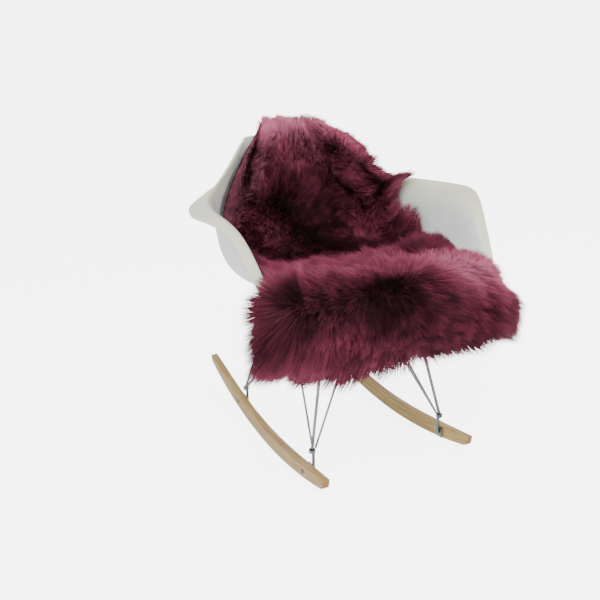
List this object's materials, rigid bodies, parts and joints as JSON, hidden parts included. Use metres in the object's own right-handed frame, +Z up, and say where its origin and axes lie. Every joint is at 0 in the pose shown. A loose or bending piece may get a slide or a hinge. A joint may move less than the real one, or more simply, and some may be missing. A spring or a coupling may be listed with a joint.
{
  "type": "sheepskin rug draped over a rocking armchair",
  "caption": "Long-haired plum sheepskin rug draped over the back, seat and front edge of a moulded rocking armchair on a wire base with bent wooden rockers.",
  "frame": {"origin": "on the floor, under the centre of the overall box", "axes": "+Z up, -Y towards the chair's front edge and the rug's hem, +X to the sitter's left"},
  "size_m": [0.6374, 0.7258, 0.7199],
  "materials": {
    "plum_fur": "long soft dyed wool, dark at the root and paler at the tip",
    "plum_locks": "pointed locks of dyed wool",
    "shell_plastic": "smooth moulded pale grey, satin",
    "maple": "pale, fine grain along the rocker, clear satin coat",
    "steel_wire": "plain drawn wire and turned fittings, satin",
    "rubber": "black, matte"
  },
  "bodies": {
    "root": {"sheepskin": "plum_fur", "locks_hem": "plum_locks", "locks_left_front": "plum_locks", "locks_left_seat": "plum_locks", "locks_left_back": "plum_locks", "locks_head": "plum_locks", "locks_right_back": "plum_locks", "locks_right_seat": "plum_locks", "locks_right_front": "plum_locks", "seat_shell": "shell_plastic", "rocker_right": "maple", "rocker_left": "maple", "rubber_front_left": "rubber", "plate_front_left": "steel_wire", "foot_front_left": "steel_wire", "screw_front_left": "steel_wire", "knuckle_front_left": "steel_wire", "ankle_front_left": "steel_wire", "leg_front_left": "steel_wire", "brace_front_left": "steel_wire", "stay_front_left": "steel_wire", "rubber_front_right": "rubber", "plate_front_right": "steel_wire", "foot_front_right": "steel_wire", "screw_front_right": "steel_wire", "knuckle_front_right": "steel_wire", "ankle_front_right": "steel_wire", "leg_front_right": "steel_wire", "brace_front_right": "steel_wire", "stay_front_right": "steel_wire", "spreader_front": "steel_wire", "rubber_rear_left": "rubber", "plate_rear_left": "steel_wire", "foot_rear_left": "steel_wire", "screw_rear_left": "steel_wire", "knuckle_rear_left": "steel_wire", "ankle_rear_left": "steel_wire", "leg_rear_left": "steel_wire", "brace_rear_left": "steel_wire", "stay_rear_left": "steel_wire", "rubber_rear_right": "rubber", "plate_rear_right": "steel_wire", "foot_rear_right": "steel_wire", "screw_rear_right": "steel_wire", "knuckle_rear_right": "steel_wire", "ankle_rear_right": "steel_wire", "leg_rear_right": "steel_wire", "brace_rear_right": "steel_wire", "stay_rear_right": "steel_wire", "spreader_rear": "steel_wire"}
  },
  "joints": []
}
